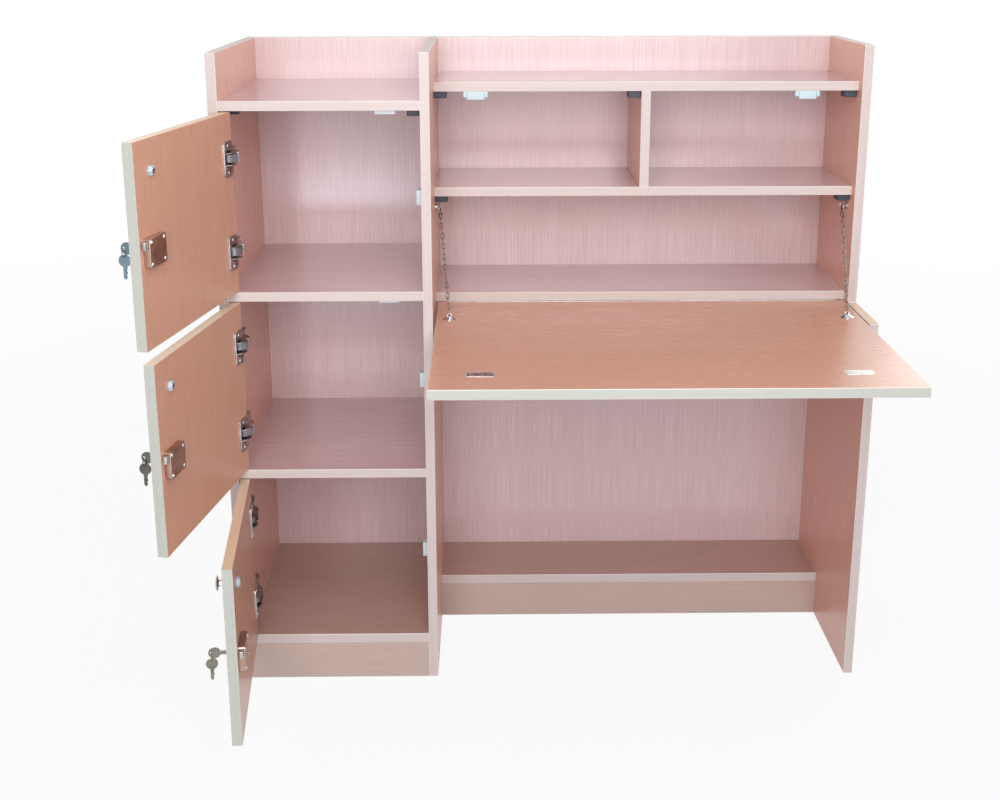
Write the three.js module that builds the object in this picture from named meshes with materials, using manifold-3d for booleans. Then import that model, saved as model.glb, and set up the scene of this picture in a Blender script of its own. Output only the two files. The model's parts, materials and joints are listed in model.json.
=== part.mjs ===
// Study desk: locker column with three lockable doors beside a hutch with a drop flap on two chains.
// Millimetres, Z up. X runs from the left side panel to the right one, Y from the front to the wall.
// The origin lies in the middle of the foot of the middle panel.
import * as THREE from 'three';
import { mergeVertices } from 'three/addons/utils/BufferGeometryUtils.js';
import Module from 'manifold-3d';

const wasm = await Module();
wasm.setup();
const { Manifold, Mesh } = wasm;

// Driving sizes of the carcass
const BOARD = 18;
const BACK_BOARD = 12;
const TOTAL_WIDTH = 1251;
const TOTAL_HEIGHT = 1265;
const DEPTH = 398;
const COMPARTMENT_WIDTH = 366;
const KICK_HEIGHT = 80;
const LOCKER_TRAY_DEPTH = 87;
const DESK_HEIGHT = 750;
const SIDE_STEP_DEPTH = 144;
const HUTCH_FRONT = 166.4;
const FOOT_SHELF_FRONT = 232;

// Levels of the two hutch shelves, as shares of the height between the desk shelf and the top
const HUTCH_TOP_SHARE = 0.85513;
const HUTCH_MIDDLE_SHARE = 0.43662;

// Driving sizes of the doors and the flap
const DOOR_GAP = 2;
const DOOR_POLE_X = 6;
const DOOR_POLE_Y = 3;
const DOOR_OPEN_DEG = [102.2, 100.8, 83.9];
const FLAP_LENGTH = 501;
const FLAP_LEFT_GAP = 5;
const FLAP_RIGHT_GAP = 3;

// Long pin hinge of the flap
const FLAP_PIN_SETBACK = 2.4;
const FLAP_PIN_DROP = 1.4;
const KNUCKLE_RADIUS = 1.8;
const PIN_RADIUS = 0.8;
const KNUCKLE_BORE_RADIUS = 1.15;
const LEAF_THICKNESS = 1;
const LEAF_WIDTH = 14;
const KNUCKLES = 15;

// Cups of the concealed hinges
const HINGE_FROM_TOP = 83;
const HINGE_FROM_BOTTOM = 80;
const CUP_RADIUS = 17.5;
const CUP_DEPTH = 11.5;
const CUP_SETBACK = 22.5;
const CUP_WALL = 1.2;
const CUP_FLANGE_HEIGHT = 66;
const CUP_FLANGE_WIDTH = 36;
const CUP_FLANGE_THICKNESS = 1.2;
const CUP_FLANGE_INSET = 3;
const CUP_FLANGE_CORNER_RADIUS = 8;
const CUP_SCREW_INSET = 8;
const EAR_OFFSET = 10.3;
const EAR_THICKNESS = 1.4;
const SCREW_HOLE_RADIUS = 2.4;

// Outline of an ear, in shares of the cup radius, from the middle of the cup on the door's inner face
const EAR_SHARES = [
  [-1.171, 0.171], [-1.057, 0.034], [-0.629, 0.034], [-0.514, -0.606], [0.457, -0.606],
  [0.571, 0], [0.286, 0.343], [-0.457, 0.629], [-1.057, 0.686], [-1.171, 0.514],
];

// Arms of the concealed hinges
const ARM_LENGTH = 75;
const ARM_WIDTH = 18.6;
const ARM_SLOT_SETBACK = 12;
const ARM_SLOT_LENGTH = 9;
const ARM_SLOT_WIDTH = 6;
const ARM_SLOT_FLOOR_HEIGHT = 8;
const WING_SETBACK = 54;
const WING_HEIGHT = 52;
const WING_WIDTH = 18;
const WING_THICKNESS = 2;
const WING_CORNER_RADIUS = 5;
const WING_SCREW_INSET = 7;

// Outline of an arm, in shares of its length, from the middle of its wing on the side panel
const ARM_SHARES = [
  [0.0133, 0.4], [0.0133, -0.2933], [0.0933, -0.3333], [0.2467, -0.4133], [0.3133, -0.5733], [0.3533, -0.6],
  [0.42, -0.5867], [0.4333, -0.4667], [0.38, -0.3333], [0.26, -0.2267], [0.2133, -0.1067], [0.1733, 0.3733],
];

// Knobs
const KNOB_FROM_EDGE = 50;
const KNOB_FROM_TOP = 51.5;
const KNOB_RADIUS = 13.5;
const KNOB_HEIGHT = 18;
const KNOB_HEAD_HEIGHT = 7;
const KNOB_STEM_RADIUS = 5.5;
const KNOB_COLLAR_RADIUS = 7.5;
const KNOB_COLLAR_HEIGHT = 2.5;
const KNOB_BEVEL = 1;
const KNOB_STUB_LENGTH = 7;

// Head of the knob from the crown to the stem: shares of its radius and of its height
const KNOB_HEAD_SHARES = [[0, 0], [0.45, 0.06], [0.8, 0.2], [1, 0.43], [0.97, 0.6], [0.53, 0.77]];

// Locks, bolts and keys
const LOCK_FROM_TOP = 178;
const LOCK_EDGE_MARGIN = 11;
const LOCK_WIDTH = 55;
const LOCK_HEIGHT = 48;
const LOCK_THICKNESS = 12;
const LOCK_CORNER_RADIUS = 4;
const LOCK_BARREL_RADIUS = 8;
const ESCUTCHEON_RADIUS = 10.5;
const ESCUTCHEON_THICKNESS = 2;
const BOLT_LIFT = 14;
const BOLT_HEIGHT = 13;
const BOLT_THICKNESS = 6;
const BOLT_LENGTH = 36;
const BOLT_THROW = 9;
const BOLT_BEVEL = 1;
const MORTISE_MARGIN = 2;
const PLUG_RADIUS = 5;
const PLUG_LIP_HEIGHT = 0.6;
const KEY_THICKNESS = 2.2;
const KEY_NECK = 13;
const KEY_BOW_RADIUS = 10.5;
const KEY_HOLE_RADIUS = 2.6;
const KEY_BLADE_HEIGHT = 6.8;
const KEY_BLADE_LENGTH = 21;
const KEY_BIT_LENGTH = 3;
const RING_RADIUS = 7.5;
const RING_WIRE_RADIUS = 0.8;

// Places of the holes in the two bows, as shares of the bow radius
const KEY_HOLE_SHARE = 0.5;
const SPARE_HOLE_SHARE = 0.55;

// Bitting of the spare key: shares of half the blade height and of one bit, counted from the tip
const BIT_SHARES = [[0.7, 1], [0.4, 2.5], [1, 3.5], [0.6, 5], [1, 6.5]];

// Chains and eyes
const CHAIN_WIRE = 2.2;
const LINK_END_RADIUS = 2.6;
const LINKS_UPPER = 13;
const LINKS_LOWER = 7;
const LINK_BITE = 0.3;
const EYE_RADIUS = 4.5;
const EYE_WIRE_RADIUS = 1.1;
const WALL_EYE_Y = 196;
const WALL_EYE_DROP = 32;
const WALL_EYE_OFFSET = 9;
const WALL_ROSETTE_RADIUS = 8;
const WALL_ROSETTE_THICKNESS = 2;
const WALL_SHANK_RADIUS = 1.6;
const FLAP_EYE_Y = 45;
const FLAP_EYE_HEIGHT = 11;
const FLAP_EYE_INSET = 30;
const DOME_RADIUS = 12.5;
const DOME_HEIGHT = 4.2;

// Domed rosette from its rim to its crown: shares of its radius and of its height
const DOME_SHARES = [[0, 0], [1, 0], [1, 0.29], [0.76, 0.52], [0.52, 0.86], [0.24, 1], [0, 1]];

// Magnetic catches of the flap
const CATCH_WIDTH = 50;
const CATCH_DEPTH = 14;
const CATCH_HEIGHT = 16;
const CATCH_BEVEL = 3;
const CATCH_SETBACK = 1;
const CATCH_LEFT_INSET = 82;
const CATCH_RIGHT_INSET = 99;

// Small clearances, and how far cutters run out and joined parts run in
const FIT = 0.3;
const SEAT = 0.05;
const SLIDE_FIT = 0.4;
const OVERCUT = 1;
const OVERLAP = 0.5;
const WELD_DISTANCE = 0.0001;

// Facets round a full turn
const COARSE_SIDES = 12;
const ROUND_SIDES = 20;
const FINE_SIDES = 28;
const WIRE_SIDES = 6;
const CHAIN_SIDES = 5;
const CORNER_STEPS = 4;
const RING_STEPS = 16;
const LINK_STEPS = 3;

// Levels and planes derived from the driving sizes
const MIDDLE_X = BOARD + COMPARTMENT_WIDTH;
const HUTCH_LEFT = MIDDLE_X + BOARD;
const HUTCH_RIGHT = TOTAL_WIDTH - BOARD;
const BACK_FACE = DEPTH - BACK_BOARD;
const LOCKERS = DOOR_OPEN_DEG.length;
const TOP_SHELF_TOP = TOTAL_HEIGHT - LOCKER_TRAY_DEPTH;
const BOTTOM_SHELF_TOP = KICK_HEIGHT + BOARD;
const SHELF_PITCH = (TOP_SHELF_TOP - BOTTOM_SHELF_TOP) / LOCKERS;
const DESK_SHELF_TOP = DESK_HEIGHT + BOARD;
const HUTCH_HEIGHT = TOTAL_HEIGHT - DESK_SHELF_TOP;
const HUTCH_TOP_SHELF_TOP = DESK_SHELF_TOP + HUTCH_HEIGHT * HUTCH_TOP_SHARE;
const HUTCH_MIDDLE_SHELF_TOP = DESK_SHELF_TOP + HUTCH_HEIGHT * HUTCH_MIDDLE_SHARE;
const WALL_EYE_Z = HUTCH_MIDDLE_SHELF_TOP - BOARD - WALL_EYE_DROP;
const SHIFT = new THREE.Vector3(-(MIDDLE_X + BOARD / 2), -DEPTH / 2, 0);

// Geometry helpers

function toSolid(geometry) {
  const bare = new THREE.BufferGeometry();
  bare.setAttribute('position', geometry.getAttribute('position'));
  if (geometry.index) bare.setIndex(geometry.index);
  const welded = mergeVertices(bare, WELD_DISTANCE);
  return new Manifold(new Mesh({
    numProp: 3,
    vertProperties: Float32Array.from(welded.attributes.position.array),
    triVerts: Uint32Array.from(welded.index.array),
  }));
}

function toGeometry(solid) {
  const mesh = solid.getMesh();
  const geometry = new THREE.BufferGeometry();
  geometry.setAttribute('position', new THREE.BufferAttribute(Float32Array.from(mesh.vertProperties), 3));
  geometry.setIndex(new THREE.BufferAttribute(Uint32Array.from(mesh.triVerts), 1));
  geometry.computeVertexNormals();
  return geometry;
}

function block(x0, x1, y0, y1, z0, z1) {
  const geometry = new THREE.BoxGeometry(x1 - x0, y1 - y0, z1 - z0);
  geometry.translate((x0 + x1) / 2, (y0 + y1) / 2, (z0 + z1) / 2);
  return toSolid(geometry);
}

// A round bar along one of the three axes, from one station to the other.
function bar(axis, from, to, radius, a, b, sides = ROUND_SIDES) {
  const geometry = new THREE.CylinderGeometry(radius, radius, to - from, sides);
  const mid = (from + to) / 2;
  if (axis === 'x') {
    geometry.rotateZ(Math.PI / 2);
    geometry.translate(mid, a, b);
  }
  if (axis === 'y') geometry.translate(a, mid, b);
  if (axis === 'z') {
    geometry.rotateX(Math.PI / 2);
    geometry.translate(a, b, mid);
  }
  return toSolid(geometry);
}

// A flat outline in the plane across the axis, extruded between two stations of that axis.
function plate(axis, points, from, to) {
  const shape = new THREE.Shape(points.map((p) => new THREE.Vector2(p[0], p[1])));
  const geometry = new THREE.ExtrudeGeometry(shape, { depth: to - from, bevelEnabled: false });
  const basis = new THREE.Matrix4();
  if (axis === 'x') basis.set(0, 0, 1, from, 1, 0, 0, 0, 0, 1, 0, 0, 0, 0, 0, 1);
  if (axis === 'y') basis.set(1, 0, 0, 0, 0, 0, -1, to, 0, 1, 0, 0, 0, 0, 0, 1);
  if (axis === 'z') basis.set(1, 0, 0, 0, 0, 1, 0, 0, 0, 0, 1, from, 0, 0, 0, 1);
  geometry.applyMatrix4(basis);
  return toSolid(geometry);
}

// A turned body: the profile holds pairs of radius and height, and starts and ends on the axis.
function turned(profile, sides, place) {
  const points = profile.map((p) => new THREE.Vector2(p[0], p[1]));
  const geometry = new THREE.LatheGeometry(points, sides);
  geometry.applyMatrix4(place);
  let solid = toSolid(geometry);
  if (solid.volume() < 0) {
    const flipped = geometry.index.array.slice();
    for (let i = 0; i < flipped.length; i += 3) {
      const kept = flipped[i];
      flipped[i] = flipped[i + 1];
      flipped[i + 1] = kept;
    }
    geometry.setIndex(Array.from(flipped));
    solid = toSolid(geometry);
  }
  return solid;
}

function roundedOutline(width, height, radius, steps = CORNER_STEPS) {
  const points = [];
  const corners = [[1, 1], [-1, 1], [-1, -1], [1, -1]];
  corners.forEach(([sx, sy], quarter) => {
    for (let i = 0; i <= steps; i += 1) {
      const angle = (quarter + i / steps) * Math.PI / 2;
      const x = sx * (width / 2 - radius) + radius * Math.cos(angle);
      const y = sy * (height / 2 - radius) + radius * Math.sin(angle);
      points.push([x, y]);
    }
  });
  return points;
}

function movedOutline(points, dx, dy) {
  return points.map((p) => [p[0] + dx, p[1] + dy]);
}

// A closed loop of round wire through the given centre points, lying in one plane.
function wireLoop(centres, normal, radius, sides = WIRE_SIDES) {
  const positions = [];
  const indices = [];
  const count = centres.length;
  centres.forEach((centre, i) => {
    const ahead = centres[(i + 1) % count];
    const behind = centres[(i + count - 1) % count];
    const tangent = new THREE.Vector3().subVectors(ahead, behind).normalize();
    const outward = new THREE.Vector3().crossVectors(tangent, normal).normalize();
    for (let j = 0; j < sides; j += 1) {
      const angle = (j + 0.5) / sides * Math.PI * 2;
      const point = centre.clone();
      point.addScaledVector(outward, radius * Math.cos(angle));
      point.addScaledVector(normal, radius * Math.sin(angle));
      positions.push(point.x, point.y, point.z);
    }
  });
  for (let i = 0; i < count; i += 1) {
    const next = (i + 1) % count;
    for (let j = 0; j < sides; j += 1) {
      const side = (j + 1) % sides;
      indices.push(i * sides + j, next * sides + j, next * sides + side);
      indices.push(i * sides + j, next * sides + side, i * sides + side);
    }
  }
  const build = (order) => new Manifold(new Mesh({
    numProp: 3,
    vertProperties: Float32Array.from(positions),
    triVerts: Uint32Array.from(order),
  }));
  const solid = build(indices);
  if (solid.volume() > 0) return solid;
  const turnedOver = [];
  for (let i = 0; i < indices.length; i += 3) turnedOver.push(indices[i], indices[i + 2], indices[i + 1]);
  return build(turnedOver);
}

// A round wire ring that stands upright and faces the front.
function ring(centre, radius, wireRadius) {
  const centres = [];
  for (let i = 0; i < RING_STEPS; i += 1) {
    const angle = i / RING_STEPS * Math.PI * 2;
    const x = centre.x + radius * Math.cos(angle);
    centres.push(new THREE.Vector3(x, centre.y, centre.z + radius * Math.sin(angle)));
  }
  return wireLoop(centres, new THREE.Vector3(0, 1, 0), wireRadius);
}

// Materials

const FINISHES = {
  edgeBand: { color: 0xe2d3cb, roughness: 0.5, metalness: 0 },
  beech: { color: 0xc49a8c, roughness: 0.5, metalness: 0 },
  doorBeech: { color: 0xcd9179, roughness: 0.45, metalness: 0 },
  nickel: { color: 0xb9b9bb, roughness: 0.28, metalness: 1 },
  chrome: { color: 0xd6d8dc, roughness: 0.12, metalness: 1 },
  darkSteel: { color: 0x5d5552, roughness: 0.4, metalness: 1 },
  whitePlastic: { color: 0xdbe3e6, roughness: 0.4, metalness: 0 },
};

const desk = new THREE.Group();
desk.name = 'study_desk';

function add(name, solid, finish, placing = null) {
  const geometry = toGeometry(solid);
  if (placing) geometry.applyMatrix4(placing);
  geometry.translate(SHIFT.x, SHIFT.y, SHIFT.z);
  const mesh = new THREE.Mesh(geometry, new THREE.MeshStandardMaterial(FINISHES[finish]));
  mesh.name = name;
  desk.add(mesh);
}

// Bolt stations of the three locks, from the top door to the bottom one

const DOOR_WIDTH = COMPARTMENT_WIDTH - DOOR_GAP * 2;
const DOOR_HEIGHT = SHELF_PITCH - BOARD - DOOR_GAP * 2;
const DOOR_LEFT = BOARD + DOOR_GAP;
const DOOR_RIGHT = DOOR_LEFT + DOOR_WIDTH;
const POLE = new THREE.Vector2(BOARD + DOOR_POLE_X, DOOR_POLE_Y);
const doorTop = (level) => TOP_SHELF_TOP - BOARD - DOOR_GAP - level * SHELF_PITCH;
const boltHeight = (level) => doorTop(level) - LOCK_FROM_TOP + BOLT_LIFT;
const BOLT_MIDDLE = BOARD + LOCK_THICKNESS / 2;

// Carcass boards

function sideProfile() {
  return [
    [0, 0],
    [DEPTH, 0],
    [DEPTH, TOTAL_HEIGHT],
    [SIDE_STEP_DEPTH, TOTAL_HEIGHT],
    [SIDE_STEP_DEPTH, DESK_HEIGHT],
    [0, DESK_HEIGHT],
  ];
}

function middlePanel() {
  let panel = block(MIDDLE_X, HUTCH_LEFT, 0, DEPTH, 0, TOTAL_HEIGHT);
  for (let level = 0; level < LOCKERS; level += 1) {
    const z = boltHeight(level);
    const mortise = block(
      MIDDLE_X - OVERCUT,
      MIDDLE_X + BOLT_THROW,
      BOLT_MIDDLE - BOLT_THICKNESS / 2 - MORTISE_MARGIN,
      BOLT_MIDDLE + BOLT_THICKNESS / 2 + MORTISE_MARGIN,
      z - BOLT_HEIGHT / 2 - MORTISE_MARGIN,
      z + BOLT_HEIGHT / 2 + MORTISE_MARGIN,
    );
    panel = panel.subtract(mortise);
  }
  return panel;
}

add('left_side_panel', block(0, BOARD, 0, DEPTH, 0, TOTAL_HEIGHT), 'edgeBand');
add('middle_panel', middlePanel(), 'edgeBand');
add('right_side_panel', plate('x', sideProfile(), HUTCH_RIGHT, TOTAL_WIDTH), 'edgeBand');
add('locker_back_panel', block(BOARD, MIDDLE_X, BACK_FACE, DEPTH, KICK_HEIGHT, TOTAL_HEIGHT), 'beech');
add('desk_back_panel', block(HUTCH_LEFT, HUTCH_RIGHT, BACK_FACE, DEPTH, KICK_HEIGHT, TOTAL_HEIGHT), 'beech');

['locker_top_shelf', 'locker_upper_shelf', 'locker_lower_shelf', 'locker_bottom_shelf'].forEach((name, level) => {
  const top = TOP_SHELF_TOP - level * SHELF_PITCH;
  add(name, block(BOARD, MIDDLE_X, 0, BACK_FACE, top - BOARD, top), 'edgeBand');
});
add('locker_kick_board', block(BOARD, MIDDLE_X, 0, BOARD, 0, KICK_HEIGHT), 'edgeBand');

const HUTCH_SHELVES = [
  ['hutch_top_shelf', HUTCH_TOP_SHELF_TOP],
  ['hutch_middle_shelf', HUTCH_MIDDLE_SHELF_TOP],
  ['desk_shelf', DESK_SHELF_TOP],
];
HUTCH_SHELVES.forEach(([name, top]) => {
  add(name, block(HUTCH_LEFT, HUTCH_RIGHT, HUTCH_FRONT, BACK_FACE, top - BOARD, top), 'edgeBand');
});

const DIVIDER_X = (HUTCH_LEFT + HUTCH_RIGHT - BOARD) / 2;
const DIVIDER_TOP = HUTCH_TOP_SHELF_TOP - BOARD;
const divider = block(
  DIVIDER_X, DIVIDER_X + BOARD, HUTCH_FRONT, BACK_FACE, HUTCH_MIDDLE_SHELF_TOP, DIVIDER_TOP);
add('hutch_divider', divider, 'edgeBand');

// The foot shelf is level with the lowest locker shelf.
const footShelf = block(HUTCH_LEFT, HUTCH_RIGHT, FOOT_SHELF_FRONT, BACK_FACE, KICK_HEIGHT, BOTTOM_SHELF_TOP);
add('foot_shelf', footShelf, 'edgeBand');
const FOOT_RAIL_BACK = FOOT_SHELF_FRONT + BOARD;
const footRail = block(HUTCH_LEFT, HUTCH_RIGHT, FOOT_SHELF_FRONT, FOOT_RAIL_BACK, 0, KICK_HEIGHT);
add('foot_rail', footRail, 'edgeBand');

// Drop flap with its long pin hinge

const FLAP_LEFT = HUTCH_LEFT + FLAP_LEFT_GAP;
const FLAP_RIGHT = HUTCH_RIGHT - FLAP_RIGHT_GAP;
const FLAP_PIN_Y = HUTCH_FRONT - FLAP_PIN_SETBACK;
const FLAP_PIN_Z = DESK_HEIGHT - FLAP_PIN_DROP;
const FLAP_BACK = FLAP_PIN_Y - FLAP_PIN_SETBACK;
const FLAP_FRONT = FLAP_BACK - FLAP_LENGTH;
const FLAP_UNDERSIDE = DESK_HEIGHT - BOARD;

const flap = block(FLAP_LEFT, FLAP_RIGHT, FLAP_FRONT, FLAP_BACK, FLAP_UNDERSIDE, DESK_HEIGHT);
add('drop_flap', flap, 'doorBeech');

// Leaves start clear of the other leaf's knuckles and reach their own by short tabs.
function flapHinge() {
  const left = FLAP_LEFT + BOARD;
  const right = FLAP_RIGHT - BOARD;
  const pitch = (right - left) / KNUCKLES;
  const clear = KNUCKLE_RADIUS + SLIDE_FIT;
  const leafUnderside = DESK_HEIGHT - LEAF_THICKNESS;
  const leafFront = FLAP_PIN_Y + clear;
  const leafTop = FLAP_PIN_Z - clear;
  const flapFace = FLAP_BACK + LEAF_THICKNESS;
  let shelfLeaf = block(left, right, leafFront, leafFront + LEAF_WIDTH, leafUnderside, DESK_HEIGHT);
  let flapLeaf = block(left, right, FLAP_BACK, flapFace, leafTop - LEAF_WIDTH, leafTop);
  shelfLeaf = shelfLeaf.add(bar('x', left, right, PIN_RADIUS, FLAP_PIN_Y, FLAP_PIN_Z, COARSE_SIDES));
  for (let i = 0; i < KNUCKLES; i += 1) {
    const from = left + i * pitch + (i > 0 ? FIT / 2 : 0);
    const to = left + (i + 1) * pitch - (i < KNUCKLES - 1 ? FIT / 2 : 0);
    const knuckle = bar('x', from, to, KNUCKLE_RADIUS, FLAP_PIN_Y, FLAP_PIN_Z, COARSE_SIDES);
    if (i % 2 === 0) {
      const tab = block(from, to, FLAP_PIN_Y + OVERLAP, leafFront + OVERLAP, leafUnderside, DESK_HEIGHT);
      shelfLeaf = shelfLeaf.add(knuckle).add(tab);
    } else {
      const tab = block(from, to, FLAP_BACK, flapFace, leafTop - OVERLAP, FLAP_PIN_Z - OVERLAP);
      const boreFrom = from - OVERCUT;
      const boreTo = to + OVERCUT;
      const bore = bar('x', boreFrom, boreTo, KNUCKLE_BORE_RADIUS, FLAP_PIN_Y, FLAP_PIN_Z, COARSE_SIDES);
      flapLeaf = flapLeaf.add(knuckle.add(tab).subtract(bore));
    }
  }
  return [shelfLeaf, flapLeaf];
}

const [shelfLeaf, flapLeaf] = flapHinge();
add('flap_hinge_shelf_leaf', shelfLeaf, 'nickel');
add('flap_hinge_flap_leaf', flapLeaf, 'nickel');

// Doors, modelled shut and then swung open about their poles

function openPlacing(level) {
  const turn = new THREE.Matrix4().makeRotationZ(-THREE.MathUtils.degToRad(DOOR_OPEN_DEG[level]));
  const back = new THREE.Matrix4().makeTranslation(POLE.x, POLE.y, 0);
  const away = new THREE.Matrix4().makeTranslation(-POLE.x, -POLE.y, 0);
  return back.multiply(turn).multiply(away);
}

const CUP_X = DOOR_LEFT + CUP_SETBACK;
const KNOB_X = DOOR_RIGHT - KNOB_FROM_EDGE;
const LOCK_RIGHT = DOOR_RIGHT - LOCK_EDGE_MARGIN;
const LOCK_LEFT = LOCK_RIGHT - LOCK_WIDTH;
const KEY_X = (LOCK_LEFT + LOCK_RIGHT) / 2;
const KEY_BOW_Y = -ESCUTCHEON_THICKNESS - KEY_NECK - KEY_BOW_RADIUS;
const KEY_HOLE_Y = KEY_BOW_Y - KEY_BOW_RADIUS * KEY_HOLE_SHARE;
const PLUG_BORE_END = BOARD - OVERCUT;

function hingeLevels(level) {
  const bottom = doorTop(level) - DOOR_HEIGHT;
  return [doorTop(level) - HINGE_FROM_TOP, bottom + HINGE_FROM_BOTTOM];
}

function doorBoard(level) {
  const top = doorTop(level);
  const from = -OVERCUT;
  const to = BOARD + OVERCUT;
  let door = block(DOOR_LEFT, DOOR_RIGHT, 0, BOARD, top - DOOR_HEIGHT, top);
  hingeLevels(level).forEach((z) => {
    door = door.subtract(bar('y', BOARD - CUP_DEPTH, to, CUP_RADIUS, CUP_X, z, FINE_SIDES));
  });
  door = door.subtract(bar('y', from, to, KNOB_STEM_RADIUS + FIT, KNOB_X, top - KNOB_FROM_TOP));
  return door.subtract(bar('y', from, to, LOCK_BARREL_RADIUS + FIT, KEY_X, top - LOCK_FROM_TOP));
}

// The cup sits in the door and carries two ears that straddle the fixed arm.
function hingeCup(z) {
  const flangeX = DOOR_LEFT + CUP_FLANGE_INSET + CUP_FLANGE_WIDTH / 2;
  const flange = roundedOutline(CUP_FLANGE_WIDTH, CUP_FLANGE_HEIGHT, CUP_FLANGE_CORNER_RADIUS);
  const shellRadius = CUP_RADIUS - FIT;
  const floor = BOARD - CUP_DEPTH + FIT;
  const mouth = BOARD + CUP_FLANGE_THICKNESS;
  let cup = plate('y', movedOutline(flange, flangeX, z), BOARD + SEAT, mouth);
  cup = cup.add(bar('y', floor, BOARD + OVERLAP, shellRadius, CUP_X, z, FINE_SIDES));
  const hollow = shellRadius - CUP_WALL;
  cup = cup.subtract(bar('y', floor + CUP_WALL, mouth + OVERCUT, hollow, CUP_X, z, FINE_SIDES));
  const ear = EAR_SHARES.map(([x, y]) => [CUP_X + x * CUP_RADIUS, BOARD + y * CUP_RADIUS]);
  [-1, 1].forEach((side) => {
    const screwZ = z + side * (CUP_FLANGE_HEIGHT / 2 - CUP_SCREW_INSET);
    const hole = bar('y', BOARD - OVERCUT, mouth + OVERCUT, SCREW_HOLE_RADIUS, CUP_X, screwZ, COARSE_SIDES);
    const near = side > 0 ? z + EAR_OFFSET : z - EAR_OFFSET - EAR_THICKNESS;
    cup = cup.subtract(hole).add(plate('z', ear, near, near + EAR_THICKNESS));
  });
  return cup;
}

// The arm stands on a wing plate on the side panel, and its nose reaches into the cup of the shut door.
function hingeArm(z) {
  const wing = movedOutline(roundedOutline(WING_WIDTH, WING_HEIGHT, WING_CORNER_RADIUS), WING_SETBACK, z);
  const wingFace = BOARD + WING_THICKNESS;
  const profile = ARM_SHARES.map(([x, y]) => [BOARD + x * ARM_LENGTH, WING_SETBACK + y * ARM_LENGTH]);
  let arm = plate('x', wing, BOARD, wingFace);
  arm = arm.add(plate('z', profile, z - ARM_WIDTH / 2, z + ARM_WIDTH / 2));
  [-1, 1].forEach((side) => {
    const screwZ = z + side * (WING_HEIGHT / 2 - WING_SCREW_INSET);
    const from = BOARD - OVERCUT;
    const to = wingFace + OVERCUT;
    arm = arm.subtract(bar('x', from, to, SCREW_HOLE_RADIUS, WING_SETBACK, screwZ, COARSE_SIDES));
  });
  const slotFloor = BOARD + ARM_SLOT_FLOOR_HEIGHT;
  const slotFront = WING_SETBACK + ARM_SLOT_SETBACK;
  const slot = block(
    slotFloor,
    slotFloor + ARM_SLOT_LENGTH,
    slotFront,
    slotFront + ARM_SLOT_LENGTH,
    z - ARM_SLOT_WIDTH / 2,
    z + ARM_SLOT_WIDTH / 2,
  );
  return arm.subtract(slot);
}

// Domed head, stem and collar in front of the door, and a threaded stub behind it for the nut.
function knob(z) {
  const place = new THREE.Matrix4().makeTranslation(KNOB_X, 0, z);
  const stubEnd = BOARD + KNOB_STUB_LENGTH;
  const profile = KNOB_HEAD_SHARES.map(([r, h]) => [r * KNOB_RADIUS, h * KNOB_HEAD_HEIGHT - KNOB_HEIGHT]);
  profile.push(
    [KNOB_STEM_RADIUS, KNOB_HEAD_HEIGHT - KNOB_HEIGHT],
    [KNOB_STEM_RADIUS, -KNOB_COLLAR_HEIGHT],
    [KNOB_COLLAR_RADIUS, KNOB_BEVEL - KNOB_COLLAR_HEIGHT],
    [KNOB_COLLAR_RADIUS, -SEAT],
    [KNOB_STEM_RADIUS, -SEAT],
    [KNOB_STEM_RADIUS, stubEnd - KNOB_BEVEL],
    [KNOB_STEM_RADIUS - KNOB_BEVEL, stubEnd],
    [0, stubEnd],
  );
  return turned(profile, ROUND_SIDES, place);
}

function lockCase(level) {
  const z = doorTop(level) - LOCK_FROM_TOP;
  const outline = roundedOutline(LOCK_WIDTH, LOCK_HEIGHT, LOCK_CORNER_RADIUS);
  const front = -ESCUTCHEON_THICKNESS;
  let housing = plate('y', movedOutline(outline, KEY_X, z), BOARD + SEAT, BOARD + LOCK_THICKNESS);
  housing = housing.add(bar('y', front / 2, BOARD + OVERLAP, LOCK_BARREL_RADIUS, KEY_X, z));
  housing = housing.add(bar('y', front, -SEAT, ESCUTCHEON_RADIUS, KEY_X, z));
  const boltZ = boltHeight(level);
  const channel = block(
    LOCK_RIGHT - BOLT_LENGTH,
    LOCK_RIGHT + OVERCUT,
    BOLT_MIDDLE - BOLT_THICKNESS / 2 - FIT,
    BOLT_MIDDLE + BOLT_THICKNESS / 2 + FIT,
    boltZ - BOLT_HEIGHT / 2 - FIT,
    boltZ + BOLT_HEIGHT / 2 + FIT,
  );
  const plugBore = bar('y', front - OVERCUT, PLUG_BORE_END, PLUG_RADIUS + SLIDE_FIT, KEY_X, z);
  return housing.subtract(channel).subtract(plugBore);
}

function lockBolt(level) {
  const z = boltHeight(level);
  const tip = DOOR_RIGHT - DOOR_GAP;
  const tail = tip - BOLT_LENGTH;
  const front = BOLT_MIDDLE - BOLT_THICKNESS / 2;
  const back = front + BOLT_THICKNESS;
  const outline = [
    [tail, front],
    [tip - BOLT_BEVEL, front],
    [tip, front + BOLT_BEVEL],
    [tip, back - BOLT_BEVEL],
    [tip - BOLT_BEVEL, back],
    [tail, back],
  ];
  return plate('z', outline, z - BOLT_HEIGHT / 2, z + BOLT_HEIGHT / 2);
}

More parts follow.
